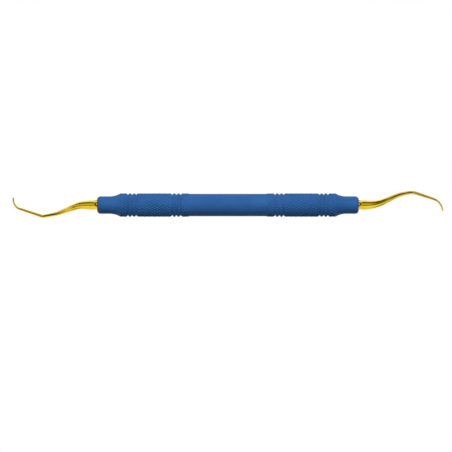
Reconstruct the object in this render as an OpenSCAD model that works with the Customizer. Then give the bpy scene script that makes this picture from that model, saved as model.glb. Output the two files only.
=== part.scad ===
// Double-ended dental hand scaler: a turned resin handle with a coated steel working end bonded into each end.
// The handle's axis is X, the instrument lies flat on the XY plane's level, and the origin is the handle's centre.

/* [Handle] */
// Length of the resin handle, end face to end face
handle_length = 105; // [95:1:120]
// Diameter over the knurled grip
grip_d = 9.5; // [8.5:0.1:11]
// Diameter of the plain waist between the two grips
waist_d = 9; // [8:0.1:10]
// Length of the plain waist at its full depth
waist_length = 30.8; // [20:0.2:34]
// Length of the slope from the waist up to the grip
waist_slope = 0.7; // [0.3:0.1:1.5]
// Diameter of the slim neck at each end
neck_d = 7; // [6:0.1:8]
// Length from the end face to where the neck starts to flare
neck_length = 4.9; // [4:0.1:8]
// Radius of the hollow flare between neck and grip
flare_r = 9; // [5:0.5:14]
// Radius of the rounded edge at the end face
end_round = 1.4; // [0.5:0.1:2]

/* [Grip grooves] */
// Grooves in each band
grooves_per_band = 3; // [1:1:4]
// Distance from groove to groove
groove_pitch = 1.68; // [1.3:0.02:2]
// Radius of the groove's round bottom
groove_r = 0.52; // [0.3:0.02:0.6]
// Distance from the handle's centre to the middle of the inner bands
inner_band = 20.65; // [19:0.05:25]
// Distance from the handle's centre to the middle of the outer bands
outer_band = 38.45; // [30:0.05:39]

/* [Sockets and tangs] */
// Diameter of the socket that takes a tang
socket_d = 4.3; // [4.1:0.05:4.6]
// Depth of the socket, down to the shoulder that the tang seats on
socket_depth = 18; // [12:1:24]
// Diameter of the lightening bore between the two sockets
core_d = 3.4; // [2:0.1:3.8]
// Diameter of the tang
tang_d = 4; // [3.6:0.05:4]
// Depth of the adhesive grooves round the tang
key_depth = 0.25; // [0.1:0.05:0.4]
// Width of one adhesive groove
key_width = 1.2; // [0.6:0.1:2]
// Adhesive grooves on a tang
key_count = 3; // [1:1:4]
// Flats ground along the tang so that it can't turn
flat_count = 4; // [2:1:6]
// Depth of one flat
flat_depth = 0.18; // [0.1:0.02:0.3]
// How far the tang's round collar stands out of the handle
collar = 0.35; // [0.2:0.05:1]

/* [Shank] */
// Ridges and hollows ground round the shank
flutes = 8; // [6:1:10]
// Depth of a hollow, as a share of the shank's radius
flute_depth = 0.13; // [0.05:0.01:0.18]
// Degrees that the topmost hollow is turned towards the tool's far side
flute_turn = 13.5; // [0:0.5:22.5]
// Shank radius over the ridges where it leaves the collar
shank_r = 1.96; // [1.6:0.02:1.98]
// Shank radius over the ridges in the first bend
bend_r = 1.3; // [1:0.02:1.5]
// Shank radius where the ridges have run out
round_r = 0.78; // [0.6:0.02:0.9]
// Shank radius at the second bend
elbow_r = 0.64; // [0.5:0.01:0.7]
// Shank radius where the blade starts
lower_r = 0.51; // [0.35:0.01:0.55]

/* [Blade] */
// Half width of the blade across its face
blade_half_width = 0.52; // [0.35:0.01:0.6]
// Height of the blade's rounded back above its middle line
blade_back = 0.52; // [0.35:0.01:0.6]
// Length of the blade, heel to toe
blade_length = 6; // [4:0.5:8]
// Share of its size that the blade loses towards the toe
blade_taper = 0.15; // [0:0.05:0.3]
// Roll of the blade's face about its own length
face_roll = 20; // [0:1:30]
// Length of the rounded toe
toe = 0.45; // [0.3:0.05:0.6]

/* [Hidden] */
$fn = 96;

resin_blue = [0.17, 0.39, 0.64];
nitride_gold = [0.85, 0.66, 0.18];
bond_amber = [0.72, 0.6, 0.36];

// The routes of the two shanks: corners [out from the end face, across, up] and the bend radius at each corner.
// The two working ends are a left and a right hand pair, so their third coordinates have opposite signs, and the
// right shank's second bend reaches down to the table, beside the handle's lowest line.
left_corners = [
    [0, 0, 0], [7.1, 0, 0], [16, 3.55, 2.4], [21.85, 4.6, 4.15], [33.5, 0.7, 2.5], [33.5, -2.6, 2.1]
];
left_bends = [0, 9, 14, 1.4, 4, 0];
right_corners = [
    [0, 0, 0], [7, 0, 0], [16.5, 4.2, -2.6], [21.65, 5.25, -4.33], [33, 1.46, -2.5], [33.62, -1.98, -2.08]
];
right_bends = [0, 14, 12, 5, 5.75, 0];

// The sweep's fineness: points round a ring, distance between rings on a straight, degrees between rings in a bend
ring_points = flutes * 3;
ring_gap = 0.9;
ring_turn = 6;

grip_rise = (grip_d - neck_d) / 2;
neck_start = handle_length / 2 - neck_length;
grip_end = neck_start - sqrt(flare_r * flare_r - pow(flare_r - grip_rise, 2));
tang_length = socket_depth;
face_level = 0.15;  // distance of the blade's flat face from the blade's middle line
heel_length = 1.8;  // length over which the round shank turns into the blade's half round
flute_start = 1.8; // distance from the end face at which the hollows reach full depth
flute_fade = 9.5;  // distance at which the hollows start to fade
flute_end = 17;    // distance at which the shank is round

// Shank radius over the ridges by distance from the end face
taper = [[0, shank_r], [3, shank_r - 0.03], [9, bend_r], [flute_end, round_r], [22, elbow_r], [30.5, lower_r]];
overshoot = 1;     // extra length on cutting tools

// ---- Handle ----

// Half outline of the resin body: radius across, handle axis up
module handle_outline() {
    difference() {
        union() {
            translate([0, -handle_length / 2]) square([neck_d / 2, handle_length]);
            translate([0, -neck_start]) square([grip_d / 2, 2 * neck_start]);
        }
        for (side = [-1, 1]) {
            translate([neck_d / 2 + flare_r, side * neck_start]) circle(flare_r);
            translate([0, side * (handle_length / 2 - end_round)]) end_corner(side);
            for (band = [inner_band, outer_band], i = [0:grooves_per_band - 1])
                translate([grip_d / 2, side * band + (i - (grooves_per_band - 1) / 2) * groove_pitch])
                    circle(groove_r);
        }
        waist_relief();
    }
}

// The sharp corner of the end face, outside its rounding
module end_corner(side) {
    difference() {
        translate([neck_d / 2 - end_round, side > 0 ? 0 : -end_round - overshoot])
            square([end_round + overshoot, end_round + overshoot]);
        translate([neck_d / 2 - end_round, 0]) circle(end_round);
    }
}

// What is turned away between the grips
module waist_relief() {
    outer = waist_length / 2 + waist_slope;
    polygon([
        [waist_d / 2, -waist_length / 2], [grip_d / 2, -outer], [grip_d / 2 + overshoot, -outer],
        [grip_d / 2 + overshoot, outer], [grip_d / 2, outer], [waist_d / 2, waist_length / 2]
    ]);
}

// Turns a shape drawn along Z to lie along X
module along_x() {
    rotate([0, 90, 0]) children();
}

// Puts a working end's own frame, +X outwards, at one end face of the handle
module at_end(side) {
    rotate([0, 0, side > 0 ? 0 : 180]) translate([handle_length / 2, 0, 0]) children();
}

// One socket, from the end face down to the tang's shoulder
module socket() {
    translate([-socket_depth, 0, 0]) along_x() cylinder(d = socket_d, h = socket_depth + overshoot);
}

module handle() {
    color(resin_blue)
        difference() {
            along_x() rotate_extrude() handle_outline();
            translate([-handle_length / 2, 0, 0]) along_x() cylinder(d = core_d, h = handle_length);
            for (side = [-1, 1]) at_end(side) socket();
        }
}

// ---- Tang and its bond ----

// The tang: a round pin with adhesive grooves, flats and a chamfered inner end, and the collar that shows
module tang() {
    chamfer = 0.4;
    difference() {
        translate([-tang_length, 0, 0]) along_x() union() {
            cylinder(d1 = tang_d - 2 * chamfer, d2 = tang_d, h = chamfer);
            translate([0, 0, chamfer]) cylinder(d = tang_d, h = tang_length + collar - chamfer);
        }
        for (i = [1:key_count]) tang_key(-tang_length * i / (key_count + 1));
        for (i = [0:flat_count - 1]) rotate([i * 360 / flat_count, 0, 0]) tang_flat();
    }
}

// One groove round the tang, centred at x
module tang_key(x) {
    translate([x - key_width / 2, 0, 0]) along_x() difference() {
        cylinder(d = tang_d + overshoot, h = key_width);
        translate([0, 0, -overshoot]) cylinder(d = tang_d - 2 * key_depth, h = key_width + 2 * overshoot);
    }
}

// The cutter for one flat along the inner half of the tang
module tang_flat() {
    translate([-tang_length - overshoot, -tang_d / 2, tang_d / 2 - flat_depth])
        cube([tang_length * 0.6 + overshoot, tang_d, overshoot]);
}

// The cured adhesive between the tang and its socket
module tang_bond(side) {
    color(bond_amber)
        at_end(side) difference() {
            translate([-socket_depth, 0, 0]) along_x() cylinder(d = socket_d, h = socket_depth);
            tang();
        }
}

// ---- Shank and blade, swept along a route of straight legs and round bends ----

function unit(v) = v / norm(v);
function leg(c, i) = unit(c[i] - c[i - 1]);
function turn(c, i) = acos(leg(c, i) * leg(c, i + 1));

// Length of leg that the bend at corner i takes up
function cutback(c, r, i) = i == 0 || i == len(c) - 1 ? 0 : r[i] * tan(turn(c, i) / 2);

// Stations [point, direction] along the straight part of the leg that ends at corner i
function leg_stations(c, r, i) =
    let(
        from = c[i - 1] + leg(c, i) * cutback(c, r, i - 1),
        to = c[i] - leg(c, i) * cutback(c, r, i),
        n = max(1, ceil(norm(to - from) / ring_gap))
    )
    [for (k = [0:n - 1]) [from + (to - from) * k / n, leg(c, i)]];

// Stations round the bend at corner i
function bend_stations(c, r, i) =
    let(
        d = leg(c, i),
        inward = unit(leg(c, i + 1) - d * (d * leg(c, i + 1))),
        from = c[i] - d * cutback(c, r, i),
        n = max(2, ceil(turn(c, i) / ring_turn))
    )
    [for (k = [0:n - 1]) let(a = turn(c, i) * k / n)
        [from + r[i] * (sin(a) * d + (1 - cos(a)) * inward), cos(a) * d + sin(a) * inward]];

function stations(c, r) =
    let(last = len(c) - 1)
    [for (i = [1:last]) each concat(
        leg_stations(c, r, i),
        i < last ? bend_stations(c, r, i) : [[c[last], leg(c, last)]]
    )];

// Distance along the route at each station
function distances(s) =
    [for (i = 0, d = 0; i < len(s); i = i + 1, d = i < len(s) ? d + norm(s[i][0] - s[i - 1][0]) : d) d];

// 0 before a, 1 after b, and a straight ramp between them
function ramp(x, a, b) = min(1, max(0, (x - a) / (b - a)));

// Point [across, up] of the section at angle a, at distance d along the route. blade is 0 on the round shank and 1
// on the blade, hand is 1 or -1 for the pair, and size is what the taper and the toe's rounding leave.
function section_point(a, d, blade, hand, size) =
    let(
        hollow = flute_depth * ramp(d, collar, flute_start) * (1 - ramp(d, flute_fade, flute_end)),
        r = lookup(d, taper) * (1 - hollow * abs(cos((a - hand * flute_turn) * flutes / 2))),
        back = r + (blade_back - r) * blade,
        half_width = r + (blade_half_width - r) * blade,
        level = back + (face_level - back) * blade,
        across = max(-level, back * cos(a)) * size,
        up = half_width * sin(a) * size,
        roll = hand * face_roll * blade
    )
    [across * cos(roll) - up * sin(roll), across * sin(roll) + up * cos(roll)];

// One ring of points round a station
function ring(station, d, blade, hand, size) =
    let(
        up = unit([0, 0, 1] - station[1] * station[1][2]),
        across = cross(up, station[1])
    )
    [for (k = [0:ring_points - 1])
        let(q = section_point(hand * flute_turn + 180 / flutes + 360 * k / ring_points, d, blade, hand, size))
        station[0] + across * q[0] + up * q[1]];

// Triangles that join n rings into a closed skin
function skin(n) =
    let(m = ring_points)
    concat(
        [for (i = [0:n - 2], k = [0:m - 1]) [i * m + k, (i + 1) * m + k, i * m + (k + 1) % m]],
        [for (i = [0:n - 2], k = [0:m - 1]) [i * m + (k + 1) % m, (i + 1) * m + k, (i + 1) * m + (k + 1) % m]],
        [for (k = [1:m - 2]) [0, k, k + 1]],
        [for (k = [1:m - 2]) [(n - 1) * m, (n - 1) * m + k + 1, (n - 1) * m + k]]
    );

module shank_and_blade(corners, bends, hand) {
    s = stations(corners, bends);
    d = distances(s);
    end = s[len(s) - 1];
    total = d[len(d) - 1];
    heel = total - blade_length;
    rings = concat(
        [for (i = [0:len(s) - 1])
            ring(s[i], d[i], ramp(d[i], heel, heel + heel_length), hand, 1 - blade_taper * ramp(d[i], heel, total))],
        [for (a = [30, 55, 75])
            ring([end[0] + end[1] * toe * sin(a), end[1]], total, 1, hand, (1 - blade_taper) * cos(a))]
    );
    polyhedron(points = [for (r = rings) each r], faces = skin(len(rings)));
}

module working_end(side, corners, bends) {
    color(nitride_gold)
        at_end(side) union() {
            tang();
            shank_and_blade(corners, bends, -side);
        }
}

handle();
working_end(-1, left_corners, left_bends);  // left_working_end
working_end(1, right_corners, right_bends);  // right_working_end
tang_bond(-1);  // left_tang_bond
tang_bond(1);  // right_tang_bond
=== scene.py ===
import math
import bmesh
import bpy
from mathutils import Matrix, Vector


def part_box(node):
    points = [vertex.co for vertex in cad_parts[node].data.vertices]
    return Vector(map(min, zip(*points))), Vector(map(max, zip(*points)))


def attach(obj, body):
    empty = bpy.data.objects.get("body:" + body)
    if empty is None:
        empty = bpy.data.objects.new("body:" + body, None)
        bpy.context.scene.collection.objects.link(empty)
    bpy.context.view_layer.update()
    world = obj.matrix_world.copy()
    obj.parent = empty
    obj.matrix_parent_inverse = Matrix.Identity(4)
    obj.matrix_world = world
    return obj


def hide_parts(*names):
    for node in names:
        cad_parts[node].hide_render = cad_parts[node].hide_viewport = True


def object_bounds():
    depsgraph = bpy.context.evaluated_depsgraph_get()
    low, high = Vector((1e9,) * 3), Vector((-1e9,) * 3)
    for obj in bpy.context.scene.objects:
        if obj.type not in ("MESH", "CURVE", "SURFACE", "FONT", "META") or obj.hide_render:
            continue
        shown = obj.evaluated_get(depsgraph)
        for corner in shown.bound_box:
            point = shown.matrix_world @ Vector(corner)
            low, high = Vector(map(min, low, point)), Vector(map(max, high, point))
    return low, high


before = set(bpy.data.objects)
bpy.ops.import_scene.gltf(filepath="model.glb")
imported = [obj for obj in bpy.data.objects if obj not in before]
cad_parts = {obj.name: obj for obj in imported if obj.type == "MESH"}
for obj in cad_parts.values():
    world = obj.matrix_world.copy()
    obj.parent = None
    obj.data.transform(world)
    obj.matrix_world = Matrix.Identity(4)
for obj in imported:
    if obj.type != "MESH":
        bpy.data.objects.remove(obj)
cadLow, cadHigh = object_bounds()
mm = 0.001
_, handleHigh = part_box("handle")
faceX = handleHigh.x / mm      # end face of the handle
gripR = handleHigh.z / mm      # radius over the knurl


def newObject(name, bm):
    bmesh.ops.recalc_face_normals(bm, faces=bm.faces)
    mesh = bpy.data.meshes.new(name)
    bm.to_mesh(mesh)
    bm.free()
    piece = bpy.data.objects.new(name, mesh)
    bpy.context.scene.collection.objects.link(piece)
    return piece


def softenEdges(bm, degrees):
    # everything smooth, except the edges that are sharper than this
    limit = math.radians(degrees)
    for face in bm.faces:
        face.smooth = True
    for edge in bm.edges:
        edge.smooth = len(edge.link_faces) == 2 and edge.calc_face_angle(0) < limit


def ramp(x, low, high):
    return min(1.0, max(0.0, (x - low) / (high - low)))


def ease(x, low, high):
    t = ramp(x, low, high)
    return t * t * (3 - 2 * t)


# lengths in millimetres and angles in degrees, as in every dictionary of a piece
handle = {
    "waistRadius": 4.5,
    "waistHalf": 15.4,
    "waistSlope": 0.7,
    "neckRadius": 3.5,
    "neckLength": 4.9,
    "flareRadius": 9.0,
    "endRound": 1.4,
    "endRoundAngles": (12, 24, 36, 48, 60, 70, 80),
    "grooveDepth": 0.52,
    "grooveHalfWidth": 0.56,
    "grooveCurve": 1.9,
    "groovePitch": 1.68,
    "groovesPerBand": 3,
    "bands": (20.65, 38.45),
    "knurlStarts": 26,
    "knurlPitch": 1.96,
    "knurlDepth": 0.30,
    "knurlFlat": 1.1,
    "knurlRunOut": 0.9,
    "socketRadius": 2.15,
    "socketDepth": 18.0,
    "socketChamfer": 0.03,
    "coreRadius": 1.7,
    "stepsPerStart": 6,
    "fineSteps": 4,
    "coarseFace": 0.04,        # square millimetres, the smallest face that gets a middle point
    "rowsInWaist": 11,
    "waistRowGap": 1.4,
    "flareRows": 12,
    "neckRows": 4,
    "sharpAngle": 42,
}
neckStart = faceX - handle["neckLength"]
gripRise = gripR - handle["neckRadius"]
flareRun = math.sqrt(handle["flareRadius"] ** 2 - (handle["flareRadius"] - gripRise) ** 2)
gripEnd = neckStart - flareRun
knurlEnd = gripEnd + handle["knurlRunOut"]
roundStart = faceX - handle["endRound"]
bandMiddle = (handle["groovesPerBand"] - 1) / 2
bandHalf = handle["groovePitch"] * bandMiddle + handle["grooveHalfWidth"]


def turnedRadius(x):
    # radius the lathe leaves at distance x from the handle's middle, before the knurl
    x = abs(x)
    slopeEnd = handle["waistHalf"] + handle["waistSlope"]
    radius = gripR - ease(slopeEnd - x, 0, handle["waistSlope"]) * (gripR - handle["waistRadius"])
    for band in handle["bands"]:
        for i in range(handle["groovesPerBand"]):
            middle = band + (i - bandMiddle) * handle["groovePitch"]
            away = abs(x - middle) / handle["grooveHalfWidth"]
            if away < 1:
                radius = min(radius, gripR - handle["grooveDepth"] * (1 - away ** handle["grooveCurve"]))
    if x > neckStart:
        radius = handle["neckRadius"]
    elif x > gripEnd:
        across = handle["flareRadius"] ** 2 - (neckStart - x) ** 2
        radius = handle["neckRadius"] + handle["flareRadius"] - math.sqrt(across)
    if x > roundStart:
        across = handle["endRound"] ** 2 - (x - roundStart) ** 2
        radius = handle["neckRadius"] - handle["endRound"] + math.sqrt(max(0.0, across))
    return radius


def knurlRadius(x, angle):
    # two crossing sets of helical grooves leave four-sided points
    turnShare = handle["knurlStarts"] * angle / (2 * math.pi)
    forward = turnShare + x / handle["knurlPitch"]
    backward = turnShare - x / handle["knurlPitch"]
    nearest = min(abs(forward - round(forward)), abs(backward - round(backward)))
    return gripR - handle["knurlDepth"] * (1 - min(1.0, 2 * nearest * handle["knurlFlat"]))


def evenRows(start, stop, count):
    return [start + (stop - start) * i / count for i in range(1, count + 1)]


def rowPositions():
    # distances from the middle at which the outline gets a point
    coarse = handle["knurlPitch"] / handle["stepsPerStart"]
    fine = coarse / handle["fineSteps"]
    rows = [i * handle["waistRowGap"] for i in range(handle["rowsInWaist"])]
    x = math.floor(handle["waistHalf"] / coarse) * coarse
    while x < knurlEnd:
        rows.append(x)
        inBand = any(abs(x - band) < bandHalf + coarse for band in handle["bands"])
        onSlope = x < handle["waistHalf"] + handle["waistSlope"] + coarse
        x += fine if inBand or onSlope else coarse
    rows += evenRows(knurlEnd, neckStart, handle["flareRows"])
    rows += evenRows(neckStart, roundStart, handle["neckRows"])
    rows += [roundStart + handle["endRound"] * math.sin(math.radians(a)) for a in handle["endRoundAngles"]]
    return rows


def makeHandle():
    bm = bmesh.new()
    outer = [(x, turnedRadius(x)) for x in rowPositions()]
    outline = [(-x, r) for x, r in reversed(outer[1:])] + outer
    socketR = handle["socketRadius"]
    socketFloor = faceX - handle["socketDepth"]
    chamfer = handle["socketChamfer"]
    bore = [(faceX, socketR + chamfer), (faceX - chamfer, socketR),
            (faceX - handle["socketDepth"] / 3, socketR),
            (socketFloor, socketR), (socketFloor, handle["coreRadius"])]
    outline += bore + [(0, handle["coreRadius"])] + [(-x, r) for x, r in reversed(bore)]
    points = [bm.verts.new((x * mm, 0, r * mm)) for x, r in outline]
    edges = [bm.edges.new((a, b)) for a, b in zip(points, points[1:] + points[:1])]
    steps = handle["knurlStarts"] * handle["stepsPerStart"]
    bmesh.ops.spin(bm, geom=points + edges, cent=(0, 0, 0), axis=(1, 0, 0), dvec=(0, 0, 0),
                   angle=2 * math.pi, steps=steps, use_merge=True, use_duplicate=False)

    def onGrip(co):
        isOutside = math.hypot(co.y, co.z) > handle["neckRadius"] * mm
        return handle["waistHalf"] < abs(co.x) / mm < knurlEnd and isOutside

    # a middle point in each coarse face lets the knurl's diagonals run both ways
    coarseArea = handle["coarseFace"] * mm * mm
    wide = [f for f in bm.faces if onGrip(f.calc_center_median()) and f.calc_area() > coarseArea]
    bmesh.ops.poke(bm, faces=wide)
    for v in bm.verts:
        if onGrip(v.co):
            x = v.co.x / mm
            radius = min(turnedRadius(x), knurlRadius(x, math.atan2(v.co.y, v.co.z)))
            scale = radius * mm / math.hypot(v.co.y, v.co.z)
            v.co.y *= scale
            v.co.z *= scale
    softenEdges(bm, handle["sharpAngle"])
    piece = newObject("knurled_handle", bm)
    print("handle made:", len(piece.data.polygons), "faces")
    return piece


shank = {
    "tangRadius": 2.0,
    "tangLength": 18.0,
    "tangChamfer": 0.4,
    "keyDepth": 0.25,
    "keyWidth": 1.2,
    "keyCount": 3,
    "collar": 0.35,
    "rimLength": 0.06,
    "rimDrop": 0.05,
    "flutes": 8,
    "pointsPerFlute": 6,
    "fluteDepth": 0.13,
    "fluteTurn": 13.5,
    "fluteStart": 1.2,
    "fluteFade": 9.5,
    "fluteEnd": 17.0,
    "taper": ((0, 1.97), (3, 1.93), (9, 1.3), (17, 0.78), (22, 0.64), (30.5, 0.51)),
    "ringGap": 0.3,
    "ringTurn": 3.0,
    "sharpAngle": 33,
}
blade = {
    "length": 6.0,
    "heelLength": 1.8,
    "halfWidth": 0.52,
    "back": 0.52,
    "faceLevel": 0.15,
    "faceRoll": 20,
    "taper": 0.15,
    "toe": 0.45,
    "toeAngles": (15, 30, 45, 58, 70, 80),
    "faceHollow": 0.02,
}
# corners run from the handle's end face: outwards, sideways, up; bends are the radii there
leftRoute = {
    "corners": ((0, 0, 0), (7.1, 0, 0), (16, 3.55, 2.4), (21.85, 4.6, 4.15),
                (33.5, 0.7, 2.5), (33.5, -2.6, 2.1)),
    "bends": (0, 9, 14, 1.4, 4, 0),
}
rightRoute = {
    "corners": ((0, 0, 0), (7, 0, 0), (16.5, 4.2, -2.6), (21.65, 5.25, -4.33),
                (33, 1.46, -2.5), (33.62, -1.98, -2.08)),
    "bends": (0, 14, 12, 5, 5.75, 0),
}


def routeStations(route):
    # points and directions along straight legs joined by round bends
    corners = [Vector(c) for c in route["corners"]]
    legs = [(b - a).normalized() for a, b in zip(corners, corners[1:])]
    stations, start = [], corners[0]
    for i, leg in enumerate(legs):
        corner = corners[i + 1]
        isLast = i == len(legs) - 1
        turn = 0 if isLast else leg.angle(legs[i + 1])
        radius = route["bends"][i + 1]
        cut = radius * math.tan(turn / 2)
        stop = corner - leg * cut
        count = max(1, math.ceil((stop - start).length / shank["ringGap"]))
        stations += [(start.lerp(stop, k / count), leg) for k in range(count)]
        if isLast:
            stations.append((corner, leg))
            break
        inward = (legs[i + 1] - leg * leg.dot(legs[i + 1])).normalized()
        count = max(2, math.ceil(math.degrees(turn) / shank["ringTurn"]))
        for k in range(count):
            a = turn * k / count
            stations.append((stop + radius * (math.sin(a) * leg + (1 - math.cos(a)) * inward),
                             math.cos(a) * leg + math.sin(a) * inward))
        start = corner + legs[i + 1] * cut
    return stations


def taperRadius(distance):
    steps = shank["taper"]
    for (d0, r0), (d1, r1) in zip(steps, steps[1:]):
        if distance <= d1:
            return r0 + (r1 - r0) * (distance - d0) / (d1 - d0)
    return steps[-1][1]


def fluteTurn(hand):
    return math.radians(hand * shank["fluteTurn"])


def ringAngles(count, hand):
    offset = math.pi / shank["flutes"] + fluteTurn(hand)
    return [offset + 2 * math.pi * k / count for k in range(count)]


def sectionPoint(angle, distance, bladeShare, hand, size):
    # across and up of one point of the cross-section
    runIn = ease(distance, shank["collar"], shank["fluteStart"])
    fade = runIn * (1 - ramp(distance, shank["fluteFade"], shank["fluteEnd"]))
    crest = abs(math.cos((angle - fluteTurn(hand)) * shank["flutes"] / 2))
    radius = taperRadius(distance) * (1 - shank["fluteDepth"] * fade * crest)
    back = radius + (blade["back"] - radius) * bladeShare
    half = radius + (blade["halfWidth"] - radius) * bladeShare
    level = back + (blade["faceLevel"] - back) * bladeShare
    across = max(-level, back * math.cos(angle))
    up = half * math.sin(angle)
    if across <= -level:
        across += blade["faceHollow"] * bladeShare * (1 - min(1.0, abs(up) / half) ** 2)
    roll = math.radians(hand * blade["faceRoll"] * bladeShare)
    turnedAcross = across * math.cos(roll) - up * math.sin(roll)
    turnedUp = across * math.sin(roll) + up * math.cos(roll)
    return size * turnedAcross, size * turnedUp


def ringAt(point, direction, distance, share, hand, size, count):
    up = (Vector((0, 0, 1)) - direction * direction.z).normalized()
    across = up.cross(direction)
    places = []
    for a in ringAngles(count, hand):
        q = sectionPoint(a, distance, share, hand, size)
        places.append(point + across * q[0] + up * q[1])
    return places


def tangOutline():
    # lengthwise place and radius, from the tang's inner end to the collar's rim
    tangR = shank["tangRadius"]
    inner = -shank["tangLength"]
    outline = [(inner, tangR - shank["tangChamfer"]), (inner + shank["tangChamfer"], tangR)]
    for i in range(shank["keyCount"], 0, -1):
        middle = inner * i / (shank["keyCount"] + 1)
        for share, depth in ((-0.5, 0), (-0.5, shank["keyDepth"]), (0.5, shank["keyDepth"]), (0.5, 0)):
            outline.append((middle + share * shank["keyWidth"], tangR - depth))
    outline.append((shank["collar"] - shank["rimLength"], tangR))
    outline.append((shank["collar"], tangR - shank["rimDrop"]))
    return outline


def ringLayout(route, hand, count):
    # the points of every ring along the steel, from the tang's inner end to the toe
    layout = []
    for x, radius in tangOutline():
        turns = [(math.cos(a), math.sin(a)) for a in ringAngles(count, hand)]
        layout.append([Vector((x, radius * y, radius * z)) for y, z in turns])

    stations = routeStations(route)
    distances = [0.0]
    for (a, _), (b, _) in zip(stations, stations[1:]):
        distances.append(distances[-1] + (b - a).length)
    total = distances[-1]
    heel = total - blade["length"]
    for (point, direction), distance in zip(stations, distances):
        if distance > shank["collar"]:
            share = ramp(distance, heel, heel + blade["heelLength"])
            size = 1 - blade["taper"] * ramp(distance, heel, total)
            layout.append(ringAt(point, direction, distance, share, hand, size, count))

    endPoint, endDirection = stations[-1]
    for degrees in blade["toeAngles"]:
        a = math.radians(degrees)
        size = (1 - blade["taper"]) * math.cos(a)
        place = endPoint + endDirection * blade["toe"] * math.sin(a)
        layout.append(ringAt(place, endDirection, total, 1, hand, size, count))
    return layout


def extrudeRing(bm, ring):
    # gives back the new ring's points in the order of the old one's
    old = set(ring)
    edges = list({e for v in ring for e in v.link_edges if e.other_vert(v) in old})
    made = bmesh.ops.extrude_edge_only(bm, edges=edges)
    partner = {}
    for v in [g for g in made["geom"] if isinstance(g, bmesh.types.BMVert)]:
        for e in v.link_edges:
            other = e.other_vert(v)
            if other in old:
                partner[other] = v
    return [partner[v] for v in ring]


def makeWorkingEnd(name, side, route):
    ringPoints = shank["flutes"] * shank["pointsPerFlute"]
    hand = -side
    bm = bmesh.new()
    ring = bmesh.ops.create_circle(bm, cap_ends=True, segments=ringPoints, radius=1.0)["verts"]
    turnRound = Matrix.Rotation(0 if side > 0 else math.pi, 4, "Z") @ Matrix.Translation((faceX, 0, 0))
    for i, points in enumerate(ringLayout(route, hand, ringPoints)):
        if i > 0:
            ring = extrudeRing(bm, ring)
        for v, co in zip(ring, points):
            v.co = (turnRound @ co) * mm
    bmesh.ops.contextual_create(bm, geom=ring)
    softenEdges(bm, shank["sharpAngle"])
    piece = newObject(name, bm)
    print(name, "made:", len(piece.data.polygons), "faces")
    return piece


def newMaterial(name):
    material = bpy.data.materials.new(name)
    material.use_nodes = True
    nodes, links = material.node_tree.nodes, material.node_tree.links
    shader = nodes["Principled BSDF"]
    return material, nodes, links, shader


def surfaceGrainGroup():
    # fine grain and broad, faint variation, for every finish on the tool
    group = bpy.data.node_groups.new("surfaceGrain", "ShaderNodeTree")
    layers = (("Grain", 3), ("Mottle", 2))
    for name, _ in layers:
        group.interface.new_socket(name + " Scale", in_out="INPUT", socket_type="NodeSocketFloat")
        group.interface.new_socket(name, in_out="OUTPUT", socket_type="NodeSocketFloat")
    nodes, links = group.nodes, group.links
    inputs = nodes.new("NodeGroupInput")
    outputs = nodes.new("NodeGroupOutput")
    coords = nodes.new("ShaderNodeTexCoord")
    for name, detail in layers:
        noise = nodes.new("ShaderNodeTexNoise")
        noise.inputs["Detail"].default_value = detail
        links.new(coords.outputs["Object"], noise.inputs["Vector"])
        links.new(inputs.outputs[name + " Scale"], noise.inputs["Scale"])
        links.new(noise.outputs["Fac"], outputs.inputs[name])
    return group


def addGrain(nodes, group, grainScale, mottleScale):
    node = nodes.new("ShaderNodeGroup")
    node.node_tree = group
    node.inputs["Grain Scale"].default_value = grainScale
    node.inputs["Mottle Scale"].default_value = mottleScale
    return node


def addRange(nodes, links, source, low, high, fromLow=0.3, fromHigh=0.7):
    node = nodes.new("ShaderNodeMapRange")
    node.inputs["From Min"].default_value = fromLow
    node.inputs["From Max"].default_value = fromHigh
    node.inputs["To Min"].default_value = low
    node.inputs["To Max"].default_value = high
    links.new(source, node.inputs["Value"])
    return node.outputs["Result"]


def newFinish(name, group, look):
    # colour follows the broad variation, and roughness the fine grain
    material, nodes, links, shader = newMaterial(name)
    grain = addGrain(nodes, group, look["grainScale"], look["mottleScale"])
    blend = nodes.new("ShaderNodeMix")
    blend.data_type = "RGBA"
    blend.inputs["A"].default_value = look["colorDeep"]
    blend.inputs["B"].default_value = look["colorLight"]
    links.new(addRange(nodes, links, grain.outputs["Mottle"], 0, 1), blend.inputs["Factor"])
    links.new(blend.outputs["Result"], shader.inputs["Base Color"])
    links.new(addRange(nodes, links, grain.outputs["Grain"], *look["roughness"]), shader.inputs["Roughness"])
    return material, nodes, links, shader, grain


def addGrainBump(nodes, links, shader, grain, look):
    bump = nodes.new("ShaderNodeBump")
    bump.inputs["Strength"].default_value = look["bump"]
    bump.inputs["Distance"].default_value = look["bumpHeight"]
    links.new(grain.outputs["Grain"], bump.inputs["Height"])
    links.new(bump.outputs["Normal"], shader.inputs["Normal"])


resin = {
    "colorDeep": (0.024, 0.108, 0.310, 1),
    "colorLight": (0.032, 0.130, 0.365, 1),
    "roughness": (0.42, 0.52),
    "grainScale": 2600,
    "mottleScale": 160,
    "bump": 0.08,
    "bumpHeight": 0.00005,
    "specular": 0.10,
}


def makeResin(group):
    material, nodes, links, shader, grain = newFinish("blueResin", group, resin)
    addGrainBump(nodes, links, shader, grain, resin)
    shader.inputs["Specular IOR Level"].default_value = resin["specular"]
    return material


coating = {
    "colorDeep": (0.80, 0.53, 0.030, 1),
    "colorLight": (0.90, 0.66, 0.055, 1),
    "roughness": (0.15, 0.22),
    "grainScale": 1800,
    "mottleScale": 260,
    "bump": 0.05,
    "bumpHeight": 0.00003,
}


def makeCoating(group):
    material, nodes, links, shader, grain = newFinish("goldCoating", group, coating)
    addGrainBump(nodes, links, shader, grain, coating)
    shader.inputs["Metallic"].default_value = 1
    return material


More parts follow.
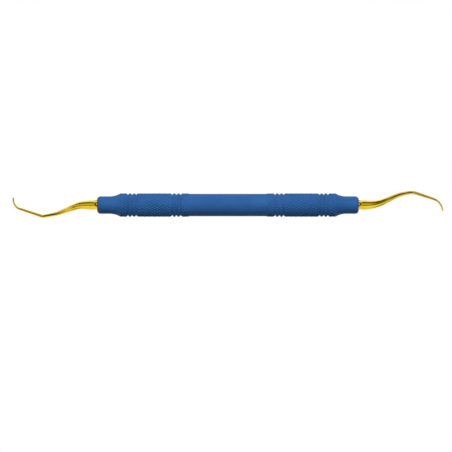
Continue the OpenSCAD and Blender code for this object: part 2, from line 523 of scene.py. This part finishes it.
adhesive = {
    "colorDeep": (0.10, 0.10, 0.09, 1),
    "colorLight": (0.22, 0.20, 0.14, 1),
    "roughness": (0.25, 0.4),
    "grainScale": 1400,
    "mottleScale": 400,
}


def makeAdhesive(group):
    return newFinish("curedAdhesive", group, adhesive)[0]


# what the camera, the diffuse light and the reflections see is set apart, so the table
# is plain white and the sky pale grey while the tool has dark and bright sides
studio = {
    "tableSize": 1.6,
    "whiteSeen": 1.0,
    "bounce": 0.10,
    "paperPaintedGlowNear": 1.15,
    # the table's glow in reflections is painted light, with a painted shadow by the tool's far edge
    "paperPaintedShadeUnder": 0.10,
    "paperPaintedGlowFar": 1.30,
    "paperNearBand": (-0.004, 0.006),
    "paperFarBand": (0.007, 0.010),
    "skyLight": 0.15,
    "skyGlossDark": 0.09,
    "skyGlossBright": 1.25,
    "skyNearBand": (-0.72, -0.5),
    "horizonGloss": 1.20,
    "horizonBand": (0.05, 0.30),
    "barGloss": 1.10,
    "barTilt": 0.45,
    "barAcross": (0.19, 0.26),
    "barAlong": (0.24, 0.34),
    "endGloss": 1.25,
    "endBand": (0.6, 0.8),
    "keyPlace": (0, 0.56, 0.80),
    "keySize": (2.4, 0.75),
    "keyEnergy": 17.0,
}


def addPick(nodes, links, which, first, second):
    node = nodes.new("ShaderNodeMath")
    node.operation = which
    links.new(first, node.inputs[0])
    links.new(second, node.inputs[1])
    return node.outputs["Value"]


def addDistance(nodes, links, source, middle):
    away = nodes.new("ShaderNodeMath")
    away.operation = "SUBTRACT"
    links.new(source, away.inputs[0])
    away.inputs[1].default_value = middle
    size = nodes.new("ShaderNodeMath")
    size.operation = "ABSOLUTE"
    links.new(away.outputs["Value"], size.inputs[0])
    return size.outputs["Value"]


def addSplitLight(nodes, links, kind, diffuse, gloss, surface):
    # one strength for the camera, one for diffuse light and one for reflections
    path = nodes.new("ShaderNodeLightPath")
    bare = nodes.new(kind)
    bare.inputs["Strength"].default_value = diffuse
    shiny = nodes.new(kind)
    links.new(gloss, shiny.inputs["Strength"])
    seen = nodes.new(kind)
    seen.inputs["Strength"].default_value = studio["whiteSeen"]
    mixGloss = nodes.new("ShaderNodeMixShader")
    links.new(path.outputs["Is Glossy Ray"], mixGloss.inputs["Fac"])
    links.new(bare.outputs[0], mixGloss.inputs[1])
    links.new(shiny.outputs[0], mixGloss.inputs[2])
    mixSeen = nodes.new("ShaderNodeMixShader")
    links.new(path.outputs["Is Camera Ray"], mixSeen.inputs["Fac"])
    links.new(mixGloss.outputs["Shader"], mixSeen.inputs[1])
    links.new(seen.outputs[0], mixSeen.inputs[2])
    links.new(mixSeen.outputs["Shader"], surface)


def splitAxes(nodes, links, output):
    coords = nodes.new("ShaderNodeTexCoord")
    split = nodes.new("ShaderNodeSeparateXYZ")
    links.new(coords.outputs[output], split.inputs["Vector"])
    return split.outputs


def makeTable():
    bm = bmesh.new()
    bmesh.ops.create_grid(bm, x_segments=2, y_segments=2, size=studio["tableSize"] / 2)
    bmesh.ops.translate(bm, verts=bm.verts, vec=(0, 0, cadLow.z))
    mesh = bpy.data.meshes.new("table")
    bm.to_mesh(mesh)
    bm.free()
    table = bpy.data.objects.new("table", mesh)
    bpy.context.scene.collection.objects.link(table)
    # the table is a glowing sheet of painted light: reflections see a painted glow on the near side, a
    # painted shadow by the tool's far edge and a painted glow beyond, diffuse rays see a faint painted
    # bounce glow, and the camera sees it plain white
    material = bpy.data.materials.new("tablePaintedGlow")
    material.use_nodes = True
    nodes, links = material.node_tree.nodes, material.node_tree.links
    nodes.clear()
    y = splitAxes(nodes, links, "Object")["Y"]
    near = addRange(nodes, links, y, studio["paperPaintedGlowNear"], studio["paperPaintedShadeUnder"],
                    *studio["paperNearBand"])
    far = addRange(nodes, links, y, 0, studio["paperPaintedGlowFar"], *studio["paperFarBand"])
    gloss = addPick(nodes, links, "MAXIMUM", near, far)
    surface = nodes.new("ShaderNodeOutputMaterial").inputs["Surface"]
    addSplitLight(nodes, links, "ShaderNodeEmission", studio["bounce"], gloss, surface)
    table.data.materials.append(material)


def makeSky():
    # reflections see a dark room with light on the near side, a bar of light overhead,
    # tilted to the far side, and more at both ends and just over the horizon
    world = bpy.data.worlds.new("studio")
    bpy.context.scene.world = world
    world.use_nodes = True
    nodes, links = world.node_tree.nodes, world.node_tree.links
    nodes.clear()
    axes = splitAxes(nodes, links, "Generated")
    aside = addDistance(nodes, links, axes["X"], 0)
    offBar = addDistance(nodes, links, axes["Y"], studio["barTilt"])
    gloss = addRange(nodes, links, axes["Y"], studio["skyGlossBright"], studio["skyGlossDark"],
                     *studio["skyNearBand"])
    rim = addRange(nodes, links, axes["Z"], studio["horizonGloss"], 0, *studio["horizonBand"])
    across = addRange(nodes, links, offBar, studio["barGloss"], 0, *studio["barAcross"])
    along = addRange(nodes, links, aside, studio["barGloss"], 0, *studio["barAlong"])
    bar = addPick(nodes, links, "MINIMUM", across, along)
    ends = addRange(nodes, links, aside, 0, studio["endGloss"], *studio["endBand"])
    for glow in (rim, bar, ends):
        gloss = addPick(nodes, links, "MAXIMUM", gloss, glow)
    surface = nodes.new("ShaderNodeOutputWorld").inputs["Surface"]
    addSplitLight(nodes, links, "ShaderNodeBackground", studio["skyLight"], gloss, surface)


def addSoftbox(name, place, size, energy):
    lamp = bpy.data.lights.new(name, "AREA")
    lamp.shape = "RECTANGLE"
    lamp.size, lamp.size_y = size
    lamp.energy = energy
    box = bpy.data.objects.new(name, lamp)
    box.location = place
    box.rotation_euler = (-Vector(place)).to_track_quat("-Z", "Y").to_euler()
    bpy.context.scene.collection.objects.link(box)
    return box


# square above the tool, a little below its middle
view = {
    "lens": 800,
    "sensorWidth": 36,
    "place": (-0.76 * mm, -8.40 * mm, 4.032),
    "clip": (0.01, 10),
}


def makeCamera():
    data = bpy.data.cameras.new("camera")
    data.lens = view["lens"]
    data.sensor_width = view["sensorWidth"]
    data.clip_start, data.clip_end = view["clip"]
    camera = bpy.data.objects.new("camera", data)
    camera.location = view["place"]
    bpy.context.scene.collection.objects.link(camera)
    bpy.context.scene.camera = camera


group = surfaceGrainGroup()
resinMaterial = makeResin(group)
coatingMaterial = makeCoating(group)
adhesiveMaterial = makeAdhesive(group)

body = makeHandle()
body.data.materials.append(resinMaterial)
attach(body, "root")
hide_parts("handle")

for name, side, route, node in (("left_shank_and_blade", -1, leftRoute, "left_working_end"),
                                ("right_shank_and_blade", 1, rightRoute, "right_working_end")):
    tip = makeWorkingEnd(name, side, route)
    tip.data.materials.append(coatingMaterial)
    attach(tip, "root")
    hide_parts(node)

for node in ("left_tang_bond", "right_tang_bond"):
    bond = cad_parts[node]
    bond.data.materials.clear()
    bond.data.materials.append(adhesiveMaterial)

makeTable()
makeSky()
key = addSoftbox("keyLight", studio["keyPlace"], studio["keySize"], studio["keyEnergy"])
key.visible_glossy = False
key.visible_camera = False
makeCamera()
bpy.context.scene.view_settings.view_transform = "Standard"
print("lights and camera placed")
